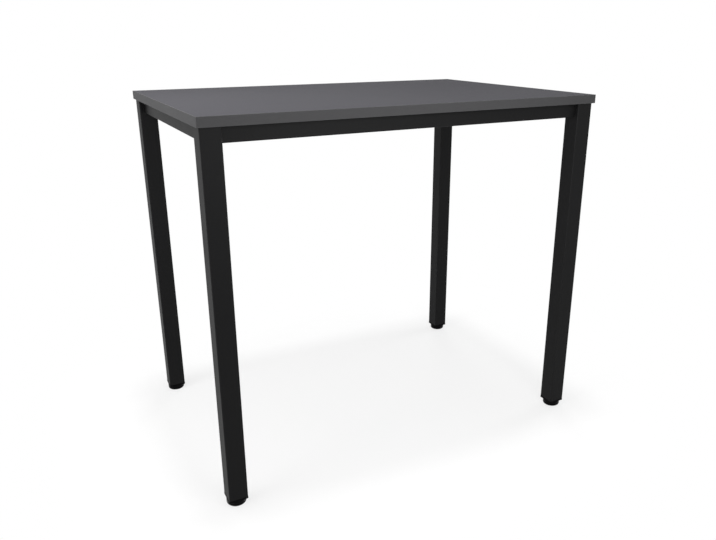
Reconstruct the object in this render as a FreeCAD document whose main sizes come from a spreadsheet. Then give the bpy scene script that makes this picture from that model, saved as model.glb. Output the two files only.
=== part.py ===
import FreeCAD, Part
import math
import os
import re
from collections import namedtuple

import Sketcher

# Standing meeting table, in millimetres. The origin is on the floor under the middle of the
# board, +X runs along the long side, +Y to the back and +Z up. Four square legs and four rails
# carry the board, and each leg stands on a foot that screws in and out to level the table.

SIZES = {
    # whole table
    "table_length": 1200,
    "table_depth": 800,
    "table_height": 1055,
    # board and its glued edge bands
    "board_thickness": 25,
    "board_overhang": 6,
    "edge_band_thickness": 2,
    "edge_band_round": 0.8,
    # leg tubes
    "leg_width": 53,
    "leg_wall": 2,
    "leg_round": 3,
    "leg_inner_round": 1,
    "top_plate_thickness": 4,
    # rails, on the middle lines of the legs
    "rail_width": 20,
    "rail_wall": 2,
    "rail_round": 2,
    "rail_inner_round": 0.6,
    "long_rail_height": 41,
    "short_rail_height": 41,
    # connector stubs on the legs, inside the ends of the rails
    "connector_length": 50,
    "connector_wall": 4,
    "connector_clearance": 0.2,
    # socket screws through the rails into the connectors
    "rail_screw_diameter": 6,
    "rail_screw_length": 10,
    "rail_screw_head_diameter": 10.5,
    "rail_screw_head_height": 3.3,
    "rail_screw_head_round": 2,
    "rail_screw_key": 4,
    "rail_screw_key_depth": 2,
    "rail_screw_inset": 12,
    "rail_screw_pitch": 26,
    # wood screws that hold the board, with their heads inside the rails
    "board_screw_diameter": 4.5,
    "board_screw_length": 18,
    "board_screw_head_diameter": 9.5,
    "board_screw_head_height": 3,
    "board_screw_head_round": 1.8,
    "board_screw_key": 3,
    "board_screw_key_depth": 1.6,
    "board_screw_to_connector": 42,
    "pilot_hole_reserve": 1,
    "screw_hole_clearance": 0.5,
    "driver_hole_diameter": 13,
    # plugs in the lower ends of the legs
    "plug_flange_thickness": 5,
    "plug_flange_lip": 0.5,
    "plug_insert_length": 30,
    "plug_clearance": 0.1,
    "plug_bore_clearance": 0.4,
    "nut_seat_height": 8,
    "nut_flats": 17,
    "nut_height": 8,
    "nut_pocket_clearance": 0.1,
    # threads, drawn as plain cylinders
    "thread_clearance": 0.05,
    # levelling feet
    "foot_diameter": 55,
    "foot_height": 18,
    "foot_edge_round": 7,
    "foot_rim_round": 1.5,
    "foot_floor": 3,
    "foot_stop_gap": 0.3,
    "foot_travel": 15,
    "socket_clearance": 0.3,
    "throat_length": 2,
    "throat_clearance": 0.1,
    "collar_recess_diameter": 24,
    # threaded studs of the feet
    "stud_diameter": 10,
    "stud_head_diameter": 14,
    "stud_head_height": 5,
    "stud_collar_flats": 17,
    "stud_collar_height": 6,
    "stud_tip": 1.5,
    "stud_reserve": 3,
}

# Heights above the floor, as formulas of the sizes.
BOARD_UNDERSIDE = "(table_height - board_thickness)"
PLUG_BOTTOM = "(foot_height + foot_stop_gap)"
LEG_BOTTOM = f"({PLUG_BOTTOM} + plug_flange_thickness)"
LEG_TOP = f"({BOARD_UNDERSIDE} - top_plate_thickness)"
HEAD_BOTTOM = "(foot_floor + socket_clearance)"
SOCKET_DEPTH = "(stud_head_height + 2 * socket_clearance)"
SOCKET_TOP = f"(foot_floor + {SOCKET_DEPTH})"
RECESS_FLOOR = f"({SOCKET_TOP} + throat_length)"
COLLAR_BOTTOM = f"({RECESS_FLOOR} + socket_clearance)"
NUT_BOTTOM = f"({PLUG_BOTTOM} + nut_seat_height)"
THREAD_TOP = f"({NUT_BOTTOM} + nut_height + foot_travel + stud_reserve)"

# Plan distances from the middle of the table.
LEG_X = "(table_length / 2 - board_overhang - leg_width / 2)"
LEG_Y = "(table_depth / 2 - board_overhang - leg_width / 2)"

# Hollow of a rail, and the connector that fits in it.
RAIL_HOLLOW_WIDTH = "(rail_width - 2 * rail_wall)"
CONNECTOR_WIDTH = f"({RAIL_HOLLOW_WIDTH} - 2 * connector_clearance)"
BOARD_SCREW_BITE = "(board_screw_length - rail_wall)"

# A corner's name and the signs of its x and y.
Corner = namedtuple("Corner", "name x_sign y_sign")
CORNERS = (
    Corner("front_left", -1, -1),
    Corner("front_right", 1, -1),
    Corner("back_right", 1, 1),
    Corner("back_left", -1, 1),
)

# A side is drawn as the front one, with +Y towards the middle of the table, and then turned by
# whole quarters. span is the board's size along the side and reach its size across it. ends
# names the legs at the side's -X and +X ends. A long rail has a board screw in its middle too.
Side = namedtuple("Side", "name turn is_long span reach rail_height ends")
SIDES = (
    Side("front", 0, True, "table_length", "table_depth", "long_rail_height", ("left", "right")),
    Side("right", 90, False, "table_depth", "table_length", "short_rail_height", ("front", "back")),
    Side("back", 180, True, "table_length", "table_depth", "long_rail_height", ("right", "left")),
    Side("left", -90, False, "table_depth", "table_length", "short_rail_height", ("back", "front")),
)

QUARTERS = 4
QUARTER_TURN = 90
HEXAGON_SIDES = 6
HEXAGON_TURN = 60
TOLERANCE = 0.001
X_AXIS = FreeCAD.Vector(1, 0, 0)
Y_AXIS = FreeCAD.Vector(0, 1, 0)
Z_AXIS = FreeCAD.Vector(0, 0, 1)

# Any rounded rectangle starts from this shape, and its constraints then move it.
START_CENTRE = 3
START_RADIUS = 1

doc = FreeCAD.newDocument("StandingMeetingTable")
sub_parts = []


# ---------------------------------------------------------------- sheet and placing

def make_sheet():
    """Writes every driving dimension into a spreadsheet cell of its own."""
    sheet = doc.addObject("Spreadsheet::Sheet", "Sizes")
    for row, (name, value) in enumerate(SIZES.items(), start=1):
        sheet.set(f"A{row}", name)
        sheet.set(f"B{row}", str(value))
        sheet.setAlias(f"B{row}", name)
    doc.recompute()


def bind(thing, path, formula):
    """Ties one property to a formula of the sizes in the sheet."""
    thing.setExpression(path, re.sub(r"[a-z]+(?:_[a-z]+)+", r"Sizes.\g<0>", formula))


def place(thing, x, y, z, rotation=None):
    """Puts a thing at x, y, z, which are formulas, after an optional rotation."""
    thing.Placement = FreeCAD.Placement(FreeCAD.Vector(), rotation or FreeCAD.Rotation())
    bind(thing, "Placement.Base.x", x)
    bind(thing, "Placement.Base.y", y)
    bind(thing, "Placement.Base.z", z)


def side_rotation(side):
    """The rotation that takes a piece drawn for the front to its own side."""
    return FreeCAD.Rotation(Z_AXIS, side.turn)


def negative(formula):
    return formula if formula == "0" else f"-({formula})"


def turned(side, x, y):
    """Formulas of a point drawn for the front, after the turn to its own side."""
    return {
        0: (x, y),
        90: (negative(y), x),
        180: (negative(x), negative(y)),
        -90: (y, negative(x)),
    }[side.turn]


def place_on_side(thing, side, x, y, z, rotation=None):
    """Puts a thing drawn for the front, at x, y, z there, on its own side."""
    plan_x, plan_y = turned(side, x, y)
    place(thing, plan_x, plan_y, z, side_rotation(side) * (rotation or FreeCAD.Rotation()))


def place_at_corner(thing, corner, z):
    """Puts a thing on the middle line of a leg."""
    place(thing, f"{corner.x_sign} * {LEG_X}", f"{corner.y_sign} * {LEG_Y}", z)


def sub_part(thing):
    """Marks a finished thing as a sub-part, which gets a file of its own."""
    sub_parts.append(thing)
    return thing


# ---------------------------------------------------------------- sketches

def new_body(label):
    return doc.addObject("PartDesign::Body", label)


def new_sketch(body, name, plane, lift="0"):
    """A sketch on one of the body's own origin planes, lifted along its normal."""
    sketch = body.newObject("Sketcher::SketchObject", f"{body.Name}_{name}_sketch")
    support = next(item for item in body.Origin.OriginFeatures if item.Role == plane)
    sketch.AttachmentSupport = [(support, "")]
    sketch.MapMode = "FlatFace"
    bind(sketch, "AttachmentOffset.Base.z", lift)
    return sketch


def constrain(sketch, *details):
    return sketch.addConstraint(Sketcher.Constraint(*details))


def bound_constraint(sketch, name, formula, *details):
    """Adds a constraint whose value, 1 at first, follows a formula."""
    sketch.renameConstraint(constrain(sketch, *details, 1), name)
    bind(sketch, f"Constraints.{name}", formula)


def draw_rectangle(sketch, width, height):
    """Draws a sharp rectangle about the sketch's origin."""
    points = [FreeCAD.Vector(x, y, 0) for x, y in ((-1, -1), (1, -1), (1, 1), (-1, 1))]
    for number, here in enumerate(points):
        sketch.addGeometry(Part.LineSegment(here, points[(number + 1) % QUARTERS]), False)
    for number in range(QUARTERS):
        constrain(sketch, "Coincident", number, 2, (number + 1) % QUARTERS, 1)
        constrain(sketch, "Vertical" if number % 2 else "Horizontal", number)
    constrain(sketch, "Symmetric", 0, 1, 1, 2, -1, 1)
    bound_constraint(sketch, "Width", width, "DistanceX", 0, 1, 0, 2)
    bound_constraint(sketch, "Height", height, "DistanceY", 1, 1, 1, 2)


def draw_rounded_rectangle(sketch, name, width, height, radius):
    """Draws a rectangle with round corners about the sketch's origin."""
    arcs = []
    for number, (x, y) in enumerate(((1, -1), (1, 1), (-1, 1), (-1, -1))):
        centre = FreeCAD.Vector(x, y, 0) * START_CENTRE
        start = math.radians(QUARTER_TURN * (number - 1))
        end = math.radians(QUARTER_TURN * number)
        arc = Part.ArcOfCircle(Part.Circle(centre, Z_AXIS, START_RADIUS), start, end)
        arcs.append(sketch.addGeometry(arc, False))
    lines = []
    for number in range(QUARTERS):
        here, there = arcs[number], arcs[(number + 1) % QUARTERS]
        segment = Part.LineSegment(sketch.getPoint(here, 2), sketch.getPoint(there, 1))
        line = sketch.addGeometry(segment, False)
        constrain(sketch, "Tangent", here, 2, line, 1)
        constrain(sketch, "Tangent", line, 2, there, 1)
        constrain(sketch, "Horizontal" if number % 2 else "Vertical", line)
        lines.append(line)
    for arc in arcs[1:]:
        constrain(sketch, "Equal", arcs[0], arc)
    constrain(sketch, "Symmetric", arcs[0], 3, arcs[2], 3, -1, 1)
    bound_constraint(sketch, f"{name}Radius", radius, "Radius", arcs[0])
    bound_constraint(sketch, f"{name}Width", width, "DistanceX", lines[2], 1, lines[0], 1)
    bound_constraint(sketch, f"{name}Height", height, "DistanceY", lines[3], 1, lines[1], 1)


def draw_hexagon(sketch, flats):
    """Draws a hexagon about the sketch's origin, of the width flats over its flats."""
    points = [FreeCAD.Rotation(Z_AXIS, HEXAGON_TURN * number).multVec(X_AXIS)
              for number in range(HEXAGON_SIDES)]
    for number, here in enumerate(points):
        there = points[(number + 1) % HEXAGON_SIDES]
        sketch.addGeometry(Part.LineSegment(here, there), False)
    circle = sketch.addGeometry(Part.Circle(FreeCAD.Vector(), Z_AXIS, 1), True)
    constrain(sketch, "Coincident", circle, 3, -1, 1)
    for number in range(HEXAGON_SIDES):
        constrain(sketch, "Coincident", number, 2, (number + 1) % HEXAGON_SIDES, 1)
        constrain(sketch, "PointOnObject", number, 1, circle)
    for number in range(1, HEXAGON_SIDES):
        constrain(sketch, "Equal", 0, number)
    constrain(sketch, "PointOnObject", 0, 1, -1)
    bound_constraint(sketch, "Corners", f"({flats}) / cos(30 deg)", "Diameter", circle)


def draw_circles(sketch, diameter, centres=(("0", "0"),)):
    """Draws circles of one diameter, with their centres given as pairs of formulas."""
    for number, (x, y) in enumerate(centres):
        circle = sketch.addGeometry(Part.Circle(FreeCAD.Vector(1, 1, 0), Z_AXIS, 1), False)
        bound_constraint(sketch, f"Diameter{number}", diameter, "Diameter", circle)
        for axis, formula, line in (("X", x, -2), ("Y", y, -1)):
            if formula == "0":
                constrain(sketch, "PointOnObject", circle, 3, line)
            else:
                bound_constraint(sketch, f"{axis}{number}", formula,
                                 f"Distance{axis}", -1, 1, circle, 3)


# ---------------------------------------------------------------- features

def new_feature(kind, sketch, name):
    body = sketch.getParentGeoFeatureGroup()
    feature = body.newObject(f"PartDesign::{kind}", f"{body.Name}_{name}")
    feature.Profile = sketch
    return feature


def pad(sketch, name, length, symmetric=False, down=False):
    """Raises a sketch by length, to both sides if symmetric, or against its normal if down."""
    feature = new_feature("Pad", sketch, name)
    feature.SideType = "Symmetric" if symmetric else "One side"
    feature.Reversed = down
    bind(feature, "Length", length)
    return feature


def pocket(sketch, name, depth=None, upwards=False):
    """Cuts a sketch against its normal, or along it if upwards, by depth or right through."""
    feature = new_feature("Pocket", sketch, name)
    feature.Reversed = upwards
    if depth is None:
        feature.Type = "ThroughAll"
    else:
        feature.Type = "Length"
        bind(feature, "Length", depth)
    return feature


def dress_edges(kind, base, name, size_property, size, wanted):
    """Rounds or bevels those edges of a feature for which wanted, given its shape, says yes."""
    doc.recompute()
    edges = [f"Edge{number}" for number, edge in enumerate(base.Shape.Edges, start=1)
             if wanted(edge, base.Shape)]
    body = base.getParentGeoFeatureGroup()
    feature = body.newObject(f"PartDesign::{kind}", f"{body.Name}_{name}")
    feature.Base = (base, edges)
    bind(feature, size_property, size)
    return feature


def is_bottom_circle(edge, shape):
    return (isinstance(edge.Curve, Part.Circle)
            and edge.BoundBox.ZMax < shape.BoundBox.ZMin + TOLERANCE)


def is_top_circle(edge, shape):
    return (isinstance(edge.Curve, Part.Circle)
            and edge.BoundBox.ZMin > shape.BoundBox.ZMax - TOLERANCE)


def is_outer_long_edge(edge, shape):
    """Whether an edge of a strip along X lies on its outer face, which looks to -Y."""
    return edge.BoundBox.YMax < shape.BoundBox.YMin + TOLERANCE and edge.BoundBox.XLength > (
        shape.BoundBox.XLength - TOLERANCE)


# ---------------------------------------------------------------- board

def board_screw_points():
    """Plan formulas of every screw that holds the board."""
    return [turned(side, along, rail_line(side))
            for side in SIDES for along in board_screw_steps(side)]


def board_screw_steps(side):
    """Where a side's board screws are, along it from its middle."""
    outer = f"({rail_length(side)} / 2 - connector_length - board_screw_to_connector)"
    return [negative(outer), outer] + (["0"] if side.is_long else [])


def rail_line(side):
    """Where the middle line of a side's rail runs, as drawn for the front."""
    return f"-({side.reach} / 2 - board_overhang - leg_width / 2)"


def make_tabletop_panel():
    """Coated chipboard panel inside the edge bands, with blind holes for its screws."""
    body = sub_part(new_body("tabletop_panel"))
    outline = new_sketch(body, "outline", "XY_Plane")
    draw_rectangle(outline, "table_length - 2 * edge_band_thickness",
                   "table_depth - 2 * edge_band_thickness")
    pad(outline, "panel", "board_thickness")
    holes = new_sketch(body, "holes", "XY_Plane")
    draw_circles(holes, "board_screw_diameter + 2 * thread_clearance", board_screw_points())
    pocket(holes, "pilot_holes", f"{BOARD_SCREW_BITE} + pilot_hole_reserve", upwards=True)
    place(body, "0", "0", BOARD_UNDERSIDE)


def make_edge_band(side):
    """Strip glued along one side of the panel. The long ones cover the ends of the short ones."""
    body = sub_part(new_body(f"edge_band_{side.name}"))
    length = side.span if side.is_long else f"{side.span} - 2 * edge_band_thickness"
    section = new_sketch(body, "section", "XY_Plane")
    draw_rectangle(section, length, "edge_band_thickness")
    strip = pad(section, "strip", "board_thickness")
    dress_edges("Fillet", strip, "soft_edges", "Radius", "edge_band_round", is_outer_long_edge)
    place_on_side(body, side, "0", f"-({side.reach} / 2 - edge_band_thickness / 2)",
                  BOARD_UNDERSIDE)


# ---------------------------------------------------------------- legs

def make_leg(corner):
    """Square leg tube, from the plug's flange up to the plate under the board."""
    body = sub_part(new_body(f"leg_{corner.name}"))
    section = new_sketch(body, "section", "XY_Plane")
    draw_rounded_rectangle(section, "Outer", "leg_width", "leg_width", "leg_round")
    hollow = "leg_width - 2 * leg_wall"
    draw_rounded_rectangle(section, "Inner", hollow, hollow, "leg_inner_round")
    pad(section, "tube", f"{LEG_TOP} - {LEG_BOTTOM}")
    place_at_corner(body, corner, LEG_BOTTOM)


def make_leg_top_plate(corner):
    """Square plate that closes a leg tube and carries the corner of the board."""
    body = sub_part(new_body(f"leg_top_plate_{corner.name}"))
    outline = new_sketch(body, "outline", "XY_Plane")
    draw_rounded_rectangle(outline, "Outer", "leg_width", "leg_width", "leg_round")
    pad(outline, "plate", "top_plate_thickness")
    place_at_corner(body, corner, LEG_TOP)


def make_leg_plug(corner):
    """Plastic plug in the lower end of a leg, with a bore and a pocket for the nut."""
    body = sub_part(new_body(f"leg_plug_{corner.name}"))
    flange = new_sketch(body, "flange", "XY_Plane")
    flange_width = "leg_width + 2 * plug_flange_lip"
    draw_rounded_rectangle(flange, "Outer", flange_width, flange_width,
                           "leg_round + plug_flange_lip")
    pad(flange, "flange", "plug_flange_thickness")
    insert = new_sketch(body, "insert", "XY_Plane", "plug_flange_thickness")
    insert_width = "leg_width - 2 * leg_wall - 2 * plug_clearance"
    draw_rounded_rectangle(insert, "Outer", insert_width, insert_width,
                           "leg_inner_round + plug_clearance")
    pad(insert, "insert", "plug_insert_length")
    bore = new_sketch(body, "bore", "XY_Plane")
    draw_circles(bore, "stud_diameter + 2 * plug_bore_clearance")
    pocket(bore, "bore", upwards=True)
    nut_pocket = new_sketch(body, "nut_pocket", "XY_Plane", "nut_seat_height")
    draw_hexagon(nut_pocket, "nut_flats + 2 * nut_pocket_clearance")
    pocket(nut_pocket, "nut_pocket", upwards=True)
    place_at_corner(body, corner, PLUG_BOTTOM)


def make_foot_nut(corner):
    """Hexagon nut at the bottom of the plug's pocket."""
    body = sub_part(new_body(f"foot_nut_{corner.name}"))
    section = new_sketch(body, "section", "XY_Plane")
    draw_hexagon(section, "nut_flats")
    draw_circles(section, "stud_diameter + 2 * thread_clearance")
    pad(section, "nut", "nut_height")
    place_at_corner(body, corner, NUT_BOTTOM)


# ---------------------------------------------------------------- rails and connectors

def rail_length(side):
    return f"({side.span} - 2 * board_overhang - 2 * leg_width)"


def rail_middle(side):
    return f"({BOARD_UNDERSIDE} - {side.rail_height} / 2)"


def rail_screw_steps(side):
    """Where a rail's four screws are, along it from its middle."""
    outer = f"({rail_length(side)} / 2 - rail_screw_inset)"
    inner = f"({outer} - rail_screw_pitch)"
    return [negative(outer), negative(inner), inner, outer]


def make_rail(side):
    """Rectangular tube between two legs, drilled for the board screws and the rail screws."""
    body = sub_part(new_body(f"rail_{side.name}"))
    section = new_sketch(body, "section", "YZ_Plane")
    draw_rounded_rectangle(section, "Outer", "rail_width", side.rail_height, "rail_round")
    draw_rounded_rectangle(section, "Inner", RAIL_HOLLOW_WIDTH,
                           f"{side.rail_height} - 2 * rail_wall", "rail_inner_round")
    pad(section, "tube", rail_length(side), symmetric=True)

    upright_holes = [(along, "0") for along in board_screw_steps(side)]
    screw_holes = new_sketch(body, "screw_holes", "XY_Plane")
    draw_circles(screw_holes, "board_screw_diameter + 2 * screw_hole_clearance", upright_holes)
    pocket(screw_holes, "screw_holes", upwards=True)
    driver_holes = new_sketch(body, "driver_holes", "XY_Plane")
    draw_circles(driver_holes, "driver_hole_diameter", upright_holes)
    pocket(driver_holes, "driver_holes")

    inner_holes = new_sketch(body, "inner_holes", "XZ_Plane")
    draw_circles(inner_holes, "rail_screw_diameter + 2 * screw_hole_clearance",
                 [(along, "0") for along in rail_screw_steps(side)])
    pocket(inner_holes, "inner_holes")
    place_on_side(body, side, "0", rail_line(side), rail_middle(side))


def make_connector(side, end, x_sign):
    """Short tube on the side of a leg, inside the end of a rail, tapped for the rail screws."""
    body = sub_part(new_body(f"rail_{side.name}_connector_{end}"))
    section = new_sketch(body, "section", "YZ_Plane")
    height = f"({side.rail_height} - 2 * rail_wall - 2 * connector_clearance)"
    draw_rounded_rectangle(section, "Outer", CONNECTOR_WIDTH, height,
                           "rail_inner_round + connector_clearance")
    draw_rounded_rectangle(section, "Inner", f"{CONNECTOR_WIDTH} - 2 * connector_wall",
                           f"{height} - 2 * connector_wall", "rail_inner_round")
    pad(section, "tube", "connector_length")
    holes = new_sketch(body, "holes", "XZ_Plane")
    draw_circles(holes, "rail_screw_diameter + 2 * thread_clearance",
                 [("rail_screw_inset", "0"), ("rail_screw_inset + rail_screw_pitch", "0")])
    pocket(holes, "tapped_holes")
    away_from_leg = FreeCAD.Rotation(Y_AXIS, (x_sign + 1) * QUARTER_TURN)
    place_on_side(body, side, f"{x_sign} * {rail_length(side)} / 2", rail_line(side),
                  rail_middle(side), away_from_leg)


# ---------------------------------------------------------------- screws

def make_screw(label, kind):
    """Pan head screw with a hexagon socket. Its head sits on z = 0 and its shank points down."""
    body = new_body(label)
    head_outline = new_sketch(body, "head", "XY_Plane")
    draw_circles(head_outline, f"{kind}_head_diameter")
    head = pad(head_outline, "head", f"{kind}_head_height")
    dress_edges("Fillet", head, "dome", "Radius", f"{kind}_head_round", is_top_circle)
    shank = new_sketch(body, "shank", "XY_Plane")
    draw_circles(shank, f"{kind}_diameter")
    pad(shank, "shank", f"{kind}_length", down=True)
    socket = new_sketch(body, "socket", "XY_Plane", f"{kind}_head_height")
    draw_hexagon(socket, f"{kind}_key")
    pocket(socket, "socket", f"{kind}_key_depth")
    return body


def screw_group(label, screw, places):
    """A sub-part of equal screws, with places as x, y, z formulas and a rotation each."""
    links = []
    for number, (x, y, z, rotation) in enumerate(places, start=1):
        link = doc.addObject("App::Link", f"{label}_{number}")
        link.LinkedObject = screw
        link.LinkTransform = False
        place(link, x, y, z, rotation)
        links.append(link)
    group = sub_part(doc.addObject("Part::Compound", label))
    group.Links = links


def make_rail_screws(side, screw):
    """Four screws in the inner face of a rail, two into each connector."""
    head_inwards = side_rotation(side) * FreeCAD.Rotation(X_AXIS, -QUARTER_TURN)
    inner_face = f"{rail_line(side)} + rail_width / 2"
    points = [turned(side, along, inner_face) for along in rail_screw_steps(side)]
    screw_group(f"rail_{side.name}_screws", screw,
                [(x, y, rail_middle(side), head_inwards) for x, y in points])


def make_board_screws(screw):
    """Screws that hold the board, with their heads under the top walls of the rails."""
    head_down = FreeCAD.Rotation(X_AXIS, 2 * QUARTER_TURN)
    screw_group("board_screws", screw,
                [(x, y, f"{BOARD_UNDERSIDE} - rail_wall", head_down)
                 for x, y in board_screw_points()])


# ---------------------------------------------------------------- feet

def make_foot_pad(corner):
    """Round foot with a recess for the stud's hexagon and a socket for its head."""
    body = sub_part(new_body(f"foot_pad_{corner.name}"))
    outline = new_sketch(body, "outline", "XY_Plane")
    draw_circles(outline, "foot_diameter")
    disc = pad(outline, "disc", "foot_height")
    rim = dress_edges("Fillet", disc, "rim", "Radius", "foot_rim_round", is_top_circle)
    dress_edges("Fillet", rim, "lower_edge", "Radius", "foot_edge_round", is_bottom_circle)
    recess = new_sketch(body, "recess", "XY_Plane", "foot_height")
    draw_circles(recess, "collar_recess_diameter")
    pocket(recess, "recess", f"foot_height - {RECESS_FLOOR}")
    throat = new_sketch(body, "throat", "XY_Plane", RECESS_FLOOR)
    draw_circles(throat, "stud_diameter + 2 * throat_clearance")
    pocket(throat, "throat", "throat_length")
    socket = new_sketch(body, "socket", "XY_Plane", SOCKET_TOP)
    draw_circles(socket, "stud_head_diameter + 2 * socket_clearance")
    pocket(socket, "socket", SOCKET_DEPTH)
    place_at_corner(body, corner, "0")


def make_foot_stud(corner):
    """Stud with a round head, a neck, a hexagon for the spanner and a thread."""
    body = sub_part(new_body(f"foot_stud_{corner.name}"))
    shank_outline = new_sketch(body, "shank", "XY_Plane", HEAD_BOTTOM)
    draw_circles(shank_outline, "stud_diameter")
    shank = pad(shank_outline, "shank", f"{THREAD_TOP} - {HEAD_BOTTOM}")
    dress_edges("Chamfer", shank, "tip", "Size", "stud_tip", is_top_circle)
    head = new_sketch(body, "head", "XY_Plane", HEAD_BOTTOM)
    draw_circles(head, "stud_head_diameter")
    pad(head, "head", "stud_head_height")
    collar = new_sketch(body, "collar", "XY_Plane", COLLAR_BOTTOM)
    draw_hexagon(collar, "stud_collar_flats")
    pad(collar, "collar", "stud_collar_height")
    place_at_corner(body, corner, "0")


# ---------------------------------------------------------------- checks and files

def check_document():
    """Stops if any object of the document failed or any sub-part has no sound shape."""
    for thing in doc.Objects:
        if "Invalid" in thing.State or "Error" in thing.State:
            raise RuntimeError(f"{thing.Label} failed: {thing.State}")
    for thing in sub_parts:
        if thing.Shape.isNull() or not thing.Shape.isValid():
            raise RuntimeError(f"{thing.Label} has no sound shape")


def write_files():
    """Writes each sub-part to a file named after it."""
    os.makedirs("parts", exist_ok=True)
    for thing in sub_parts:
        thing.Shape.exportStep(f"parts/{thing.Label}.step")
        print(f"{thing.Label}: {len(thing.Shape.Solids)} solid(s)")


make_sheet()
make_tabletop_panel()
for table_side in SIDES:
    make_edge_band(table_side)
    make_rail(table_side)
    for end_name, end_sign in zip(table_side.ends, (-1, 1)):
        make_connector(table_side, end_name, end_sign)
for table_corner in CORNERS:
    make_leg(table_corner)
    make_leg_top_plate(table_corner)
    make_leg_plug(table_corner)
    make_foot_nut(table_corner)
    make_foot_pad(table_corner)
    make_foot_stud(table_corner)
rail_screw = make_screw("rail_screw_pattern", "rail_screw")
for table_side in SIDES:
    make_rail_screws(table_side, rail_screw)
make_board_screws(make_screw("board_screw_pattern", "board_screw"))
doc.recompute()
check_document()
write_files()
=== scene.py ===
"""Dresses the standing meeting table: a finish for every part, cut threads and moulded feet.

Lengths are in metres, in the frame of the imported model: X runs along the board, Y from its
front to its back, and Z up from the floor.
"""
import logging
import math
from collections.abc import Callable, Iterable, Sequence
from dataclasses import dataclass, field
from enum import Enum
from functools import cache

import bmesh
import bpy
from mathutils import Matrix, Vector


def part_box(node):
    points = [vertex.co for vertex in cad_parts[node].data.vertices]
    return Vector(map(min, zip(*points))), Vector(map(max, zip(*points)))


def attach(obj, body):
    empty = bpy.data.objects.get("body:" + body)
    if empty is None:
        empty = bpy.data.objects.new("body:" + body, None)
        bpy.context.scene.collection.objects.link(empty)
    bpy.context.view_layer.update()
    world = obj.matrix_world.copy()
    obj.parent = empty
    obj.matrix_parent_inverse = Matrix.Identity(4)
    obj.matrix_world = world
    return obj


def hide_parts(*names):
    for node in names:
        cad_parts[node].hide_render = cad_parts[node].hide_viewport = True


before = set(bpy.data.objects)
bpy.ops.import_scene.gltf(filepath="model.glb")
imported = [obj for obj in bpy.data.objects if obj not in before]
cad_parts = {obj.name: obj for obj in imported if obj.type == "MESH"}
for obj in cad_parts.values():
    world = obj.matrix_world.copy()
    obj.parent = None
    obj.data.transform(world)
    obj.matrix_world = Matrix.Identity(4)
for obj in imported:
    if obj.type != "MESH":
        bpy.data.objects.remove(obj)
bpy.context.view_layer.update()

LOG = logging.getLogger("standing_table")
MM = 0.001
# how near points are when they are welded, level with a cut or on a ring
WELD_WITHIN = 0.002 * MM
LEVEL_WITHIN = 0.001 * MM
RING_WITHIN = 0.02 * MM

Colour = tuple[float, float, float, float]
Point = tuple[float, float, float]

WHITE: Colour = (1.0, 1.0, 1.0, 1.0)


# ---------------------------------------------------------------- names
class Slot(Enum):
    """Finishes that the record names."""

    LAMINATE = "laminate_board"
    EDGE_BAND = "edge_band"
    POWDER_COAT = "powder_coat"
    CONNECTOR = "connector_steel"
    ZINC = "zinc_steel"
    BLACK_STEEL = "black_steel"
    PLUG_PLASTIC = "black_plastic"
    FOOT_PLASTIC = "foot_plastic"


class Side(Enum):
    """Sides of the table."""

    FRONT = "front"
    RIGHT = "right"
    BACK = "back"
    LEFT = "left"


class Corner(Enum):
    """Corners of the table."""

    FRONT_LEFT = "front_left"
    FRONT_RIGHT = "front_right"
    BACK_RIGHT = "back_right"
    BACK_LEFT = "back_left"


class Kind(Enum):
    """Kinds of value that a shared effect takes and gives."""

    NUMBER = "NodeSocketFloat"
    COLOUR = "NodeSocketColor"
    VECTOR = "NodeSocketVector"


class Sum(Enum):
    """Ways to work out a number from two others."""

    ADD = "ADD"
    SUBTRACT = "SUBTRACT"
    MULTIPLY = "MULTIPLY"
    POWER = "POWER"
    LARGER = "MAXIMUM"
    IS_LESS = "LESS_THAN"


# ---------------------------------------------------------------- node trees
# the Mix node has sockets of one name for numbers and for colours, so they go by number
MIX_NUMBER_A, MIX_NUMBER_B = 2, 3
MIX_COLOUR_A, MIX_COLOUR_B = 6, 7
MIX_COLOUR_RESULT = 2


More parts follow.
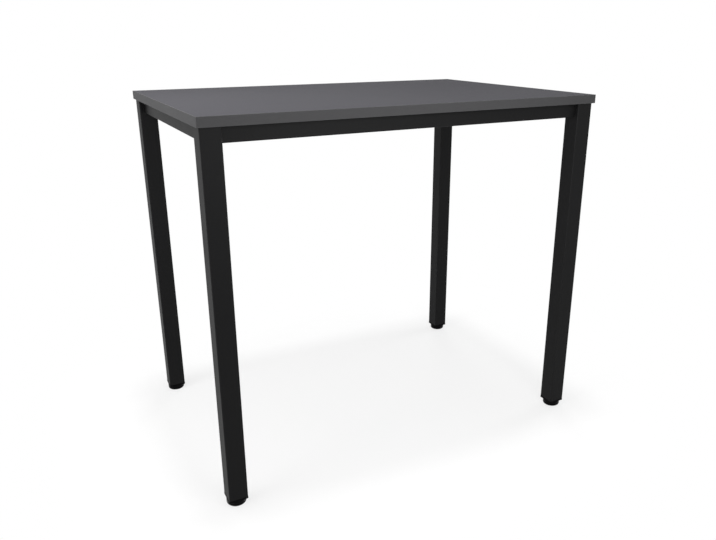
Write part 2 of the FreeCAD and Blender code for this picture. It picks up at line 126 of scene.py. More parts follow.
@dataclass
class Wiring:
    """A node tree, with short ways to place nodes in it and join them."""

    tree: bpy.types.NodeTree

    def place(self, kind: str, sockets: dict | None = None,
              **settings: object) -> bpy.types.Node:
        """Places a node.

        Args:
            kind: type of the node, without its ShaderNode prefix.
            sockets: a value or an output socket for each input, by name or number.
            settings: properties of the node.

        Returns:
            The new node.
        """
        node = self.tree.nodes.new("ShaderNode" + kind)
        for name, value in settings.items():
            setattr(node, name, value)
        self.feed(node, sockets or {})
        return node

    def feed(self, node: bpy.types.Node, sockets: dict) -> None:
        """Sets or joins the inputs of a node.

        Args:
            node: the node.
            sockets: a value or an output socket for each input, by name or number.
        """
        for name, value in sockets.items():
            if isinstance(value, bpy.types.NodeSocket):
                self.tree.links.new(value, node.inputs[name])
            else:
                node.inputs[name].default_value = value

    def sum_up(self, operation: Sum, first: object, second: object,
               clamp: bool = False) -> bpy.types.NodeSocket:
        """Works out a number from two others.

        Args:
            operation: what is done with the two.
            first: a number or an output socket.
            second: a number or an output socket.
            clamp: whether the result stays from 0 to 1.

        Returns:
            The result's socket.
        """
        node = self.place("Math", {0: first, 1: second}, operation=operation.value,
                          use_clamp=clamp)
        return node.outputs[0]

    def blend(self, share: object, first: object, second: object) -> bpy.types.NodeSocket:
        """Blends two colours.

        Args:
            share: how much of the second colour there is, from 0 to 1.
            first: a colour or an output socket.
            second: a colour or an output socket.

        Returns:
            The blended colour's socket.
        """
        node = self.place("Mix", {0: share, MIX_COLOUR_A: first, MIX_COLOUR_B: second},
                          data_type="RGBA")
        return node.outputs[MIX_COLOUR_RESULT]

    def spread(self, value: object, low: float, high: float) -> bpy.types.NodeSocket:
        """Spreads a 0 to 1 value over a range.

        Args:
            value: output socket of the value.
            low: result at 0.
            high: result at 1.

        Returns:
            The result's socket.
        """
        node = self.place("MapRange", {"Value": value, "To Min": low, "To Max": high})
        return node.outputs[0]

    def noise(self, place: object, scale: object, detail: float = 2.0) -> bpy.types.NodeSocket:
        """Soft noise from 0 to 1.

        Args:
            place: output socket with the place on the piece.
            scale: waves per metre.
            detail: octaves of finer noise.

        Returns:
            The noise's socket.
        """
        node = self.place("TexNoise", {"Vector": place, "Scale": scale, "Detail": detail})
        return node.outputs[0]

    def effect(self, group: bpy.types.NodeTree, **sockets: object) -> bpy.types.Node:
        """Places a shared effect.

        Args:
            group: node group of the effect.
            sockets: a value or an output socket for each of its inputs.

        Returns:
            The group's node.
        """
        return self.place("Group", sockets, node_tree=group)


# ---------------------------------------------------------------- shared effects
# waves of the coarse grain, as a share of the fine grain's
COARSE_GRAIN_SHARE = 0.22
# octaves of finer noise in each effect
COARSE_GRAIN_DETAIL = 1.0
DRIFT_DETAIL = 3.0
DUST_DETAIL = 4.0
HIGHLIGHT_PATCH_DETAIL = 3.0
# waves per metre of the patches of dust and of the painted edge highlight, and how much is
# left between them
DUST_SCALE = 38.0
DUST_LEAST = 0.2
HIGHLIGHT_PATCH_SCALE = 55.0
HIGHLIGHT_PATCH_LEAST = 0.3
# how fast dust gets thinner as a face turns upright
DUST_FALL = 2.0
# how straight a face looks along an axis where a rounded edge starts and where it is whole
EDGE_STARTS = 0.99
EDGE_WHOLE = 0.8
# how far a fleck's rim and its whole core reach from its middle, in cells
FLECK_RIM = 0.42
FLECK_CORE = 0.12


def new_effect(name: str, inputs: dict[str, Kind], outputs: dict[str, Kind]
               ) -> tuple[Wiring, bpy.types.Node, bpy.types.Node]:
    """Starts a node group for an effect.

    Args:
        name: name of the group.
        inputs: kind of each named input.
        outputs: kind of each named output.

    Returns:
        The group's wiring, its input node and its output node.
    """
    group = bpy.data.node_groups.new(name, "ShaderNodeTree")
    for direction, sockets in (("INPUT", inputs), ("OUTPUT", outputs)):
        for label, kind in sockets.items():
            group.interface.new_socket(label, in_out=direction, socket_type=kind.value)
    return (Wiring(group), group.nodes.new("NodeGroupInput"),
            group.nodes.new("NodeGroupOutput"))


@cache
def fine_grain() -> bpy.types.NodeTree:
    """Fine uneven skin on two scales of grain.

    Returns:
        The group; it gives a height from 0 to 1.
    """
    wiring, given, result = new_effect(
        "fine_grain",
        {"Place": Kind.VECTOR, "Scale": Kind.NUMBER, "Coarse Share": Kind.NUMBER},
        {"Height": Kind.NUMBER})
    fine = wiring.noise(given.outputs["Place"], given.outputs["Scale"])
    wide = wiring.sum_up(Sum.MULTIPLY, given.outputs["Scale"], COARSE_GRAIN_SHARE)
    coarse = wiring.noise(given.outputs["Place"], wide, COARSE_GRAIN_DETAIL)
    height = wiring.place("Mix", {0: given.outputs["Coarse Share"], MIX_NUMBER_A: fine,
                                  MIX_NUMBER_B: coarse})
    wiring.tree.links.new(height.outputs[0], result.inputs["Height"])
    return wiring.tree


@cache
def tone_drift() -> bpy.types.NodeTree:
    """Slow drift of a colour's depth over a piece.

    Returns:
        The group; it gives the colour and the drift, from 0 to 1.
    """
    wiring, given, result = new_effect(
        "tone_drift",
        {"Place": Kind.VECTOR, "Colour": Kind.COLOUR, "Scale": Kind.NUMBER,
         "Amount": Kind.NUMBER},
        {"Colour": Kind.COLOUR, "Drift": Kind.NUMBER})
    drift = wiring.noise(given.outputs["Place"], given.outputs["Scale"], DRIFT_DETAIL)
    # the depth swings by the amount to either side of 1
    centred = wiring.sum_up(Sum.SUBTRACT, drift, 0.5)
    swing = wiring.sum_up(Sum.MULTIPLY, centred, given.outputs["Amount"])
    depth = wiring.sum_up(Sum.ADD, wiring.sum_up(Sum.MULTIPLY, swing, 2.0), 1.0)
    scaled = wiring.place("VectorMath", {0: given.outputs["Colour"], "Scale": depth},
                          operation="SCALE")
    wiring.tree.links.new(scaled.outputs[0], result.inputs["Colour"])
    wiring.tree.links.new(drift, result.inputs["Drift"])
    return wiring.tree


@cache
def settled_dust() -> bpy.types.NodeTree:
    """Thin dust on what faces up, in uneven patches.

    Returns:
        The group; it gives a mask.
    """
    wiring, given, result = new_effect(
        "settled_dust",
        {"Place": Kind.VECTOR, "Facing": Kind.VECTOR, "Amount": Kind.NUMBER},
        {"Mask": Kind.NUMBER})
    facing = wiring.place("SeparateXYZ", {0: given.outputs["Facing"]})
    upwards = wiring.sum_up(Sum.LARGER, facing.outputs["Z"], 0.0)
    settled = wiring.sum_up(Sum.POWER, upwards, DUST_FALL)
    patches = wiring.spread(wiring.noise(given.outputs["Place"], DUST_SCALE, DUST_DETAIL),
                            DUST_LEAST, 1.0)
    mask = wiring.sum_up(Sum.MULTIPLY, wiring.sum_up(Sum.MULTIPLY, settled, patches),
                         given.outputs["Amount"], clamp=True)
    wiring.tree.links.new(mask, result.inputs["Mask"])
    return wiring.tree


@cache
def painted_edge_highlight() -> bpy.types.NodeTree:
    """Painted highlight on the rounded edges of a squared piece: a lighter colour, in uneven
    patches, where light catches the arris.

    Returns:
        The group; it gives a mask.
    """
    wiring, given, result = new_effect(
        "painted_edge_highlight",
        {"Place": Kind.VECTOR, "Facing": Kind.VECTOR, "Amount": Kind.NUMBER},
        {"Mask": Kind.NUMBER})
    sizes = wiring.place("VectorMath", {0: given.outputs["Facing"]}, operation="ABSOLUTE")
    parts = wiring.place("SeparateXYZ", {0: sizes.outputs[0]})
    level = wiring.sum_up(Sum.LARGER, parts.outputs["X"], parts.outputs["Y"])
    largest = wiring.sum_up(Sum.LARGER, level, parts.outputs["Z"])
    slant = wiring.place("MapRange", {"Value": largest, "From Min": EDGE_STARTS,
                                      "From Max": EDGE_WHOLE})
    # uneven patches of the painted highlight along the edges
    highlight_patches = wiring.spread(wiring.noise(given.outputs["Place"], HIGHLIGHT_PATCH_SCALE, HIGHLIGHT_PATCH_DETAIL),
                           HIGHLIGHT_PATCH_LEAST, 1.0)
    mask = wiring.sum_up(Sum.MULTIPLY, wiring.sum_up(Sum.MULTIPLY, slant.outputs[0], highlight_patches),
                         given.outputs["Amount"], clamp=True)
    wiring.tree.links.new(mask, result.inputs["Mask"])
    return wiring.tree


@cache
def painted_glint_flecks() -> bpy.types.NodeTree:
    """Small scattered flecks, the mask of painted glints.

    Returns:
        The group; it gives a mask.
    """
    wiring, given, result = new_effect(
        "painted_glint_flecks",
        {"Place": Kind.VECTOR, "Scale": Kind.NUMBER, "Cover": Kind.NUMBER},
        {"Mask": Kind.NUMBER})
    cells = wiring.place("TexVoronoi", {"Vector": given.outputs["Place"],
                                        "Scale": given.outputs["Scale"]})
    tint = wiring.place("SeparateColor", {0: cells.outputs["Color"]})
    chosen = wiring.sum_up(Sum.IS_LESS, tint.outputs["Red"], given.outputs["Cover"])
    core = wiring.place("MapRange", {"Value": cells.outputs["Distance"],
                                     "From Min": FLECK_RIM, "From Max": FLECK_CORE})
    mask = wiring.sum_up(Sum.MULTIPLY, chosen, core.outputs[0])
    wiring.tree.links.new(mask, result.inputs["Mask"])
    return wiring.tree


# ---------------------------------------------------------------- finishes
@dataclass(frozen=True)
class Finish:
    """What every finish has: a slot, a colour, a gloss and the height of its skin."""

    slot: Slot
    colour: Colour
    roughness: float
    roughness_swing: float = 0.06
    specular: float = 0.5
    metallic: float = 0.0
    grain_scale: float = 600.0
    grain_coarse: float = 0.35
    grain_height: float = 0.02 * MM
    drift_scale: float = 4.0
    drift_amount: float = 0.04
    # lighter colour painted on rounded edges as a highlight, and how strong it is
    edge_highlight_colour: Colour = (0.0, 0.0, 0.0, 1.0)
    edge_highlight_amount: float = 0.0
    dust: float = 0.0
    dust_colour: Colour = (0.32, 0.31, 0.30, 1.0)

    def make(self) -> bpy.types.Material:
        """Builds the material.

        Returns:
            The new material, named after its slot.
        """
        material = bpy.data.materials.new(self.slot.value)
        material.use_nodes = True
        material.node_tree.nodes.clear()
        wiring = Wiring(material.node_tree)
        coordinates = wiring.place("TexCoord")
        place, facing = coordinates.outputs["Object"], coordinates.outputs["Normal"]
        tone = wiring.effect(tone_drift(), Place=place, Colour=self.colour,
                             Scale=self.drift_scale, Amount=self.drift_amount)
        colour = self.coloured(wiring, place, tone.outputs["Colour"])
        # rounded edges take a lighter colour: a painted highlight where light catches them
        if self.edge_highlight_amount:
            edges = wiring.effect(painted_edge_highlight(), Place=place, Facing=facing,
                                  Amount=self.edge_highlight_amount)
            colour = wiring.blend(edges.outputs["Mask"], colour, self.edge_highlight_colour)
        if self.dust:
            dust = wiring.effect(settled_dust(), Place=place, Facing=facing, Amount=self.dust)
            colour = wiring.blend(dust.outputs["Mask"], colour, self.dust_colour)
        grain = wiring.effect(fine_grain(), Place=place, Scale=self.grain_scale,
                              **{"Coarse Share": self.grain_coarse})
        rough = wiring.spread(tone.outputs["Drift"], self.roughness - self.roughness_swing,
                              self.roughness + self.roughness_swing)
        skin = self.skin(wiring, place, grain.outputs["Height"])
        bump = wiring.place("Bump", {"Height": skin, "Distance": self.grain_height,
                                     "Strength": 1.0})
        shader = wiring.place("BsdfPrincipled", {
            "Base Color": colour, "Roughness": rough, "Normal": bump.outputs[0],
            "Metallic": self.metallic, "Specular IOR Level": self.specular})
        wiring.place("OutputMaterial", {"Surface": shader.outputs[0]})
        return material

    def coloured(self, wiring: Wiring, place: bpy.types.NodeSocket,
                 colour: bpy.types.NodeSocket) -> bpy.types.NodeSocket:
        """Adds what is special to a finish's colour; a plain finish keeps its tone."""
        return colour

    def skin(self, wiring: Wiring, place: bpy.types.NodeSocket,
             grain: bpy.types.NodeSocket) -> bpy.types.NodeSocket:
        """Height of the skin from 0 to 1; a plain finish has only its grain."""
        return grain


@dataclass(frozen=True)
class Laminate(Finish):
    """Matt melamine face with a fine pearl structure and faint lighter flecks painted as its
    glints.
    """

    glint_fleck_colour: Colour = (0.17, 0.167, 0.18, 1.0)
    fleck_scale: float = 700.0
    fleck_cover: float = 0.22
    fleck_depth: float = 0.18

    def coloured(self, wiring: Wiring, place: bpy.types.NodeSocket,
                 colour: bpy.types.NodeSocket) -> bpy.types.NodeSocket:
        """Adds the flecks, painted glints of the pearl structure.

        Args:
            wiring: node tree of the material.
            place: place on the piece.
            colour: tone of the bare finish.

        Returns:
            The colour with its flecks.
        """
        # lighter flecks painted into the colour as the glints of the pearl structure
        flecks = wiring.effect(painted_glint_flecks(), Place=place, Scale=self.fleck_scale,
                               Cover=self.fleck_cover)
        share = wiring.sum_up(Sum.MULTIPLY, flecks.outputs["Mask"], self.fleck_depth)
        return wiring.blend(share, colour, self.glint_fleck_colour)


@dataclass(frozen=True)
class PlatedSteel(Finish):
    """Bright metal with a cloudy plating and fine lines round it."""

    cloud_colour: Colour = (0.62, 0.60, 0.55, 1.0)
    cloud_scale: float = 160.0
    cloud_detail: float = 4.0
    cloud_depth: float = 0.4
    line_scale: float = 900.0
    line_waver: float = 1.5

    def coloured(self, wiring: Wiring, place: bpy.types.NodeSocket,
                 colour: bpy.types.NodeSocket) -> bpy.types.NodeSocket:
        """Adds the clouds of the plating.

        Args:
            wiring: node tree of the material.
            place: place on the piece.
            colour: tone of the bare finish.

        Returns:
            The colour with its clouds.
        """
        clouds = wiring.noise(place, self.cloud_scale, self.cloud_detail)
        share = wiring.spread(clouds, 0.0, self.cloud_depth)
        return wiring.blend(share, colour, self.cloud_colour)

    def skin(self, wiring: Wiring, place: bpy.types.NodeSocket,
             grain: bpy.types.NodeSocket) -> bpy.types.NodeSocket:
        """Takes the mean of the grain and fine level lines.

        Args:
            wiring: node tree of the material.
            place: place on the piece.
            grain: height of the grain.

        Returns:
            The height of the skin.
        """
        lines = wiring.place("TexWave", {"Vector": place, "Scale": self.line_scale,
                                         "Distortion": self.line_waver}, bands_direction="Z")
        both = wiring.sum_up(Sum.ADD, grain, lines.outputs["Fac"])
        return wiring.sum_up(Sum.MULTIPLY, both, 0.5)


# each edge colour below is a painted highlight on rounded edges; the laminate's lighter flecks
# are painted glints
FINISHES: dict[Slot, Finish] = {
    finish.slot: finish
    for finish in (
        Laminate(Slot.LAMINATE, (0.068, 0.0667, 0.0745, 1.0), roughness=0.62,
                 specular=0.02, grain_scale=1500.0, drift_scale=2.5, drift_amount=0.03),
        Finish(Slot.EDGE_BAND, (0.0674, 0.067, 0.069, 1.0), roughness=0.5,
               specular=0.02, grain_scale=900.0, grain_height=0.01 * MM, drift_scale=5.0,
               edge_highlight_colour=(0.16, 0.16, 0.165, 1.0), edge_highlight_amount=0.5),
        Finish(Slot.POWDER_COAT, (0.0098, 0.0098, 0.0101, 1.0), roughness=0.5,
               specular=0.065, grain_scale=900.0, grain_coarse=0.3,
               grain_height=0.045 * MM, drift_scale=3.5, drift_amount=0.06, dust=0.04,
               edge_highlight_colour=(0.03, 0.03, 0.031, 1.0), edge_highlight_amount=0.35),
        Finish(Slot.CONNECTOR, (0.03, 0.03, 0.032, 1.0), roughness=0.48,
               specular=0.3, metallic=0.6, grain_scale=700.0,
               edge_highlight_colour=(0.16, 0.155, 0.15, 1.0), edge_highlight_amount=0.6),
        PlatedSteel(Slot.ZINC, (0.66, 0.68, 0.70, 1.0), roughness=0.3, metallic=1.0,
                    grain_scale=1400.0, grain_height=0.006 * MM, drift_scale=60.0,
                    drift_amount=0.05),
        Finish(Slot.BLACK_STEEL, (0.035, 0.034, 0.036, 1.0), roughness=0.38,
               metallic=0.8, grain_scale=1600.0, grain_height=0.006 * MM,
               drift_scale=90.0, drift_amount=0.12, edge_highlight_colour=(0.2, 0.19, 0.18, 1.0),
               edge_highlight_amount=0.3),
        Finish(Slot.PLUG_PLASTIC, (0.002, 0.002, 0.0022, 1.0), roughness=0.55,
               specular=0.04, grain_scale=2200.0, grain_coarse=0.1, drift_scale=30.0,
               dust=0.05),
        Finish(Slot.FOOT_PLASTIC, (0.001, 0.001, 0.0012, 1.0), roughness=0.2,
               specular=0.045, roughness_swing=0.05, grain_scale=260.0,
               grain_coarse=0.6, grain_height=0.015 * MM, drift_scale=40.0,
               drift_amount=0.08, dust=0.05),
    )
}


@cache
def material_of(slot: Slot) -> bpy.types.Material:
    """Material of a slot, made when it is first asked for."""
    return FINISHES[slot].make()


def dress(slot: Slot, labels: Iterable[str]) -> None:
    """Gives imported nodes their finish.

    Args:
        slot: slot of the finish.
        labels: names of the nodes.
    """
    for label in labels:
        for material_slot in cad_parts[label].material_slots:
            material_slot.material = material_of(slot)
        LOG.info("%s: %s", label, slot.value)


# ---------------------------------------------------------------- workbench
class Workbench:
    """Modelling steps that more than one new piece uses."""

    @staticmethod
    def clear() -> None:
        """Leaves nothing selected."""
        bpy.ops.object.select_all(action="DESELECT")

    @staticmethod
    def take(piece: bpy.types.Object) -> None:
        """Selects one piece alone and makes it the active one.

        Args:
            piece: the piece to work on.
        """
        Workbench.clear()
        piece.select_set(True)
        bpy.context.view_layer.objects.active = piece

    @staticmethod
    def turn(name: str, rings: Sequence[tuple[float, float]], sides: int
             ) -> bpy.types.Object:
        """Builds a closed turned solid on the Z axis, ring by ring, from a filled circle.

        Args:
            name: name of the piece.
            rings: radius and height of each ring, from the first face to the last.
            sides: corners of each ring.

        Returns:
            The new piece.
        """
        Workbench.clear()
        radius, height = rings[0]
        bpy.ops.mesh.primitive_circle_add(vertices=sides, radius=radius, fill_type="NGON",
                                          location=(0.0, 0.0, height))
        piece = bpy.context.object
        piece.name = piece.data.name = name
        bpy.ops.object.transform_apply(location=True, rotation=True, scale=True)
        bpy.ops.object.mode_set(mode="EDIT")
        bpy.ops.mesh.select_all(action="SELECT")
        for next_radius, next_height in rings[1:]:
            bpy.ops.mesh.extrude_region_move(
                TRANSFORM_OT_translate={"value": (0.0, 0.0, next_height - height)})
            ratio = next_radius / radius
            bpy.ops.transform.resize(value=(ratio, ratio, 1.0),
                                     center_override=(0.0, 0.0, next_height))
            radius, height = next_radius, next_height
        Workbench.face_outwards()
        bpy.ops.object.mode_set(mode="OBJECT")
        return piece

    @staticmethod
    def face_outwards() -> None:
        """Makes every face of the mesh in edit mode point outwards."""
        bpy.ops.mesh.select_all(action="SELECT")
        bpy.ops.mesh.normals_make_consistent(inside=False)
        bpy.ops.mesh.select_all(action="DESELECT")

    @staticmethod
    def pick_edges(piece: bpy.types.Object, wanted: Callable[[Vector, Vector], bool]) -> None:
        """Selects edges of the mesh in edit mode by the places of their ends.

        Args:
            piece: the piece in edit mode.
            wanted: whether an edge between two points is selected.
        """
        bpy.ops.mesh.select_mode(type="EDGE")
        bpy.ops.mesh.select_all(action="DESELECT")
        mesh = bmesh.from_edit_mesh(piece.data)
        for edge in mesh.edges:
            if wanted(edge.verts[0].co, edge.verts[1].co):
                edge.select = True
        mesh.select_flush(True)
        bmesh.update_edit_mesh(piece.data)

    @staticmethod
    def round_ring(piece: bpy.types.Object, radius: float, height: float, width: float,
                   segments: int) -> None:
        """Rounds one ring of edges of a turned piece.

        Args:
            piece: the turned piece, in object mode.
            radius: radius of the ring.
            height: height of the ring.
            width: width of the round.
            segments: faces across the round.
        """
        def on_ring(first: Vector, second: Vector) -> bool:
            """Whether both ends of an edge lie on the ring."""
            return all(abs(point.xy.length - radius) < RING_WITHIN
                       and abs(point.z - height) < RING_WITHIN for point in (first, second))

        bpy.ops.object.mode_set(mode="EDIT")
        Workbench.pick_edges(piece, on_ring)
        bpy.ops.mesh.bevel(offset=width, segments=segments, profile=0.5, affect="EDGES")
        bpy.ops.object.mode_set(mode="OBJECT")

    @staticmethod
    def join(parts: Sequence[bpy.types.Object]) -> bpy.types.Object:
        """Joins closed shells into one piece.

        Args:
            parts: the shells; the first one gives the piece its name.

        Returns:
            The joined piece.
        """
        Workbench.clear()
        for part in parts:
            part.select_set(True)
        bpy.context.view_layer.objects.active = parts[0]
        bpy.ops.object.join()
        return parts[0]

    @staticmethod
    def smooth(piece: bpy.types.Object, degrees: float) -> None:
        """Shades a piece smooth, with creases where its faces turn sharply.

        Args:
            piece: the piece.
            degrees: how far two faces may turn without a crease.
        """
        Workbench.take(piece)
        bpy.ops.object.shade_smooth_by_angle(angle=math.radians(degrees))

    @staticmethod
    def copy_to(pattern: bpy.types.Object, name: str, x: float, y: float
                ) -> bpy.types.Object:
        """Copies a piece, with its own mesh, to another place in plan.

        Args:
            pattern: the piece to copy.
            name: name of the copy.
            x: step along X.
            y: step along Y.

        Returns:
            The copy, its place in its mesh.
        """
        Workbench.take(pattern)
        bpy.ops.object.duplicate(linked=False)
        piece = bpy.context.object
        piece.name = piece.data.name = name
        bpy.ops.transform.translate(value=(x, y, 0.0))
        bpy.ops.object.transform_apply(location=True, rotation=True, scale=True)
        return piece

    @staticmethod
    def scrap(piece: bpy.types.Object) -> None:
        """Removes a pattern or a tool that is no longer needed."""
        bpy.data.objects.remove(piece)


# ---------------------------------------------------------------- board
@dataclass
class Board:
    """Laminated panel with an edge band on each side."""

    panel: str = "tabletop_panel"
    bands: tuple[str, ...] = tuple(f"edge_band_{side.value}" for side in Side)

    def build(self) -> None:
        """Dresses the panel and its bands."""
        dress(Slot.LAMINATE, [self.panel])
        dress(Slot.EDGE_BAND, self.bands)


# ---------------------------------------------------------------- steel frame
@dataclass
class SteelFrame:
    """Coated legs and rails, with the plates and connectors that join them."""

    legs: tuple[str, ...] = tuple(f"leg_{corner.value}" for corner in Corner)
    rails: tuple[str, ...] = tuple(f"rail_{side.value}" for side in Side)

    def build(self) -> None:
        """Dresses the steel parts and the screws that hold them together."""
        dress(Slot.POWDER_COAT, self.legs)
        dress(Slot.POWDER_COAT, [f"leg_top_plate_{corner.value}" for corner in Corner])
        dress(Slot.POWDER_COAT, self.rails)
        dress(Slot.CONNECTOR, self.connectors())
        dress(Slot.BLACK_STEEL, [f"{rail}_screws" for rail in self.rails])
        dress(Slot.ZINC, ["board_screws"])

    def connectors(self) -> list[str]:
        """Names of the connectors, two to each rail."""
        return sorted(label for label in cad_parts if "_connector_" in label)


# ---------------------------------------------------------------- levelling feet
@dataclass
class FootPad:
    """Moulded round foot, with a recess for the spanner hexagon and a socket for the stud."""

    radius: float = 27.5 * MM
    height: float = 18.0 * MM
    lower_round: float = 7.0 * MM
    rim_round: float = 1.5 * MM
    recess_radius: float = 12.0 * MM
    recess_floor: float = 10.6 * MM
    throat_radius: float = 5.1 * MM
    socket_top: float = 8.6 * MM
    socket_radius: float = 7.3 * MM
    socket_floor: float = 3.0 * MM
    groove_depth: float = 0.6 * MM
    groove_radii: tuple[tuple[float, float], ...] = (
        (10.0 * MM, 11.2 * MM), (13.2 * MM, 14.4 * MM), (16.4 * MM, 17.6 * MM))
    hollow_radius: float = 6.0 * MM
    parting_height: float = 10.4 * MM
    parting_depth: float = 0.12 * MM
    parting_half: float = 0.2 * MM
    recess_round: float = 0.5 * MM
    throat_round: float = 0.3 * MM
    lower_round_faces: int = 9
    rim_round_faces: int = 4
    recess_round_faces: int = 2
    throat_round_faces: int = 1
    crease_degrees: float = 32.0
    sides: int = 96

    def rings(self) -> list[tuple[float, float]]:
        """Rings of the foot's section.

        Returns:
            Radius and height of each ring, from the middle of the underside, round the
            outside and down to the floor of the socket.
        """
        rings = [(self.hollow_radius, self.groove_depth), (self.hollow_radius, 0.0)]
        for inner, outer in self.groove_radii:
            rings += [(inner, 0.0), (inner, self.groove_depth), (outer, self.groove_depth),
                      (outer, 0.0)]
        low, high = (self.parting_height - self.parting_half,
                     self.parting_height + self.parting_half)
        rings += [
            (self.radius, 0.0), (self.radius, low),
            (self.radius - self.parting_depth, self.parting_height),
            (self.radius, high), (self.radius, self.height),
            (self.recess_radius, self.height), (self.recess_radius, self.recess_floor),
            (self.throat_radius, self.recess_floor), (self.throat_radius, self.socket_top),
            (self.socket_radius, self.socket_top), (self.socket_radius, self.socket_floor),
        ]
        return rings

    def build(self) -> bpy.types.Object:
        """Models the foot at the origin.

        Returns:
            The pattern for the four feet.
        """
        piece = Workbench.turn("foot_pattern", self.rings(), self.sides)
        for radius, height, width, faces in (
                (self.radius, 0.0, self.lower_round, self.lower_round_faces),
                (self.radius, self.height, self.rim_round, self.rim_round_faces),
                (self.recess_radius, self.height, self.recess_round,
                 self.recess_round_faces),
                (self.throat_radius, self.recess_floor, self.throat_round,
                 self.throat_round_faces)):
            Workbench.round_ring(piece, radius, height, width, faces)
        Workbench.smooth(piece, self.crease_degrees)
        return piece


@dataclass
class Stud:
    """Threaded stud with a round head, a neck and a spanner hexagon."""

    head_radius: float = 7.0 * MM
    head_bottom: float = 3.3 * MM
    head_top: float = 8.3 * MM
    head_round: float = 0.8 * MM
    head_round_faces: int = 3
    neck_radius: float = 5.0 * MM
    neck_overlap: float = 0.2 * MM
    hexagon_bottom: float = 10.9 * MM
    hexagon_top: float = 16.9 * MM
    hexagon_flats: float = 17.0 * MM
    hexagon_sides: int = 6
    chamfer_degrees: float = 30.0
    chamfer_share: float = 0.95
    tool_margin: float = 0.5 * MM
    thread_overlap: float = 0.3 * MM
    thread_lead: float = 1.5
    tip_height: float = 52.3 * MM
    tip_length: float = 1.5 * MM
    tip_share: float = 0.76
    major_radius: float = 4.98 * MM
    minor_radius: float = 4.16 * MM
    pitch: float = 1.5 * MM
    root_end: float = 0.25
    crest_start: float = 0.5625
    crest_end: float = 0.6875
    steps: int = 40
    crease_degrees: float = 28.0
    sides: int = 48

    def tooth(self) -> list[tuple[float, float]]:
        """Section of one tooth.

        Returns:
            Radius and height of each point, over one pitch.
        """
        return [(self.minor_radius, 0.0), (self.minor_radius, self.pitch * self.root_end),
                (self.major_radius, self.pitch * self.crest_start),
                (self.major_radius, self.pitch * self.crest_end),
                (self.minor_radius, self.pitch)]

    def thread(self) -> bpy.types.Object:
        """Cuts the thread: a tooth wound round the axis, sawn off level and closed.

        Returns:
            The closed threaded rod.
        """
        Workbench.clear()
        bottom = self.hexagon_top - self.thread_overlap
        top = self.tip_height - self.tip_length
        start = bottom - self.thread_lead * self.pitch
        points = self.tooth()
        bpy.ops.mesh.primitive_plane_add(size=self.pitch)
        piece = bpy.context.object
        piece.name = piece.data.name = "thread_pattern"
        bpy.ops.object.mode_set(mode="EDIT")
        bpy.ops.mesh.select_mode(type="VERT")
        bpy.ops.mesh.select_all(action="SELECT")
        bpy.ops.mesh.merge(type="CENTER")
        bpy.ops.transform.translate(value=(points[0][0], 0.0, start))
        for (radius, height), (next_radius, next_height) in zip(points, points[1:]):
            bpy.ops.mesh.extrude_region_move(TRANSFORM_OT_translate={
                "value": (next_radius - radius, 0.0, next_height - height)})
        bpy.ops.object.mode_set(mode="OBJECT")
        screw = piece.modifiers.new("winding", "SCREW")
        screw.axis = "Z"
        screw.screw_offset = self.pitch
        screw.iterations = math.ceil((top - start) / self.pitch) + 1
        screw.steps = screw.render_steps = self.steps
        screw.use_merge_vertices = False
        bpy.ops.object.modifier_apply(modifier=screw.name)
        bpy.ops.object.mode_set(mode="EDIT")
        bpy.ops.mesh.select_all(action="SELECT")
        bpy.ops.mesh.remove_doubles(threshold=WELD_WITHIN)
        for height, direction in ((bottom, -1.0), (top, 1.0)):
            bpy.ops.mesh.select_all(action="SELECT")
            bpy.ops.mesh.bisect(plane_co=(0.0, 0.0, height), plane_no=(0.0, 0.0, direction),
                                use_fill=True, clear_outer=True, threshold=LEVEL_WITHIN)
        bpy.ops.mesh.select_mode(type="FACE")
        self.pick_end(piece, top)
        bpy.ops.mesh.extrude_region_move(
            TRANSFORM_OT_translate={"value": (0.0, 0.0, self.tip_length)})
        bpy.ops.transform.resize(value=(self.tip_share, self.tip_share, 1.0),
                                 center_override=(0.0, 0.0, self.tip_height))
        Workbench.face_outwards()
        bpy.ops.object.mode_set(mode="OBJECT")
        return piece

    @staticmethod
    def pick_end(piece: bpy.types.Object, height: float) -> None:
        """Selects the face that closes the rod at a height.

        Args:
            piece: the rod in edit mode.
            height: height of the face.
        """
        bpy.ops.mesh.select_all(action="DESELECT")
        mesh = bmesh.from_edit_mesh(piece.data)
        for face in mesh.faces:
            face.select = all(abs(vert.co.z - height) < LEVEL_WITHIN for vert in face.verts)
        bmesh.update_edit_mesh(piece.data)

    def hexagon(self) -> bpy.types.Object:
        """Models the spanner hexagon, its corners turned off at both ends.

        Returns:
            The closed hexagon.
        """
        corner_radius = self.hexagon_flats / 2 / math.cos(math.pi / self.hexagon_sides)
        depth = self.hexagon_top - self.hexagon_bottom
        middle = (self.hexagon_top + self.hexagon_bottom) / 2
        Workbench.clear()
        bpy.ops.mesh.primitive_cylinder_add(vertices=self.hexagon_sides,
                                            radius=corner_radius, depth=depth,
                                            location=(0.0, 0.0, middle))
        hexagon = bpy.context.object
        hexagon.name = hexagon.data.name = "hexagon_pattern"
        bpy.ops.object.transform_apply(location=True, rotation=True, scale=True)
        face_radius = self.hexagon_flats / 2 * self.chamfer_share
        tool_radius = corner_radius + self.tool_margin
        fall = (tool_radius - face_radius) * math.tan(math.radians(self.chamfer_degrees))
        tool = Workbench.turn("chamfer_tool", [
            (face_radius, self.hexagon_bottom), (tool_radius, self.hexagon_bottom + fall),
            (tool_radius, self.hexagon_top - fall), (face_radius, self.hexagon_top)],
            self.sides)
        # half a side round, so that no edge of the tool meets the middle of a flat
        tool.rotation_euler.z = math.pi / self.sides
        Workbench.take(hexagon)
        cut = hexagon.modifiers.new("chamfer", "BOOLEAN")
        cut.operation, cut.solver, cut.object = "INTERSECT", "EXACT", tool
        bpy.ops.object.modifier_apply(modifier=cut.name)
        Workbench.scrap(tool)
        return hexagon

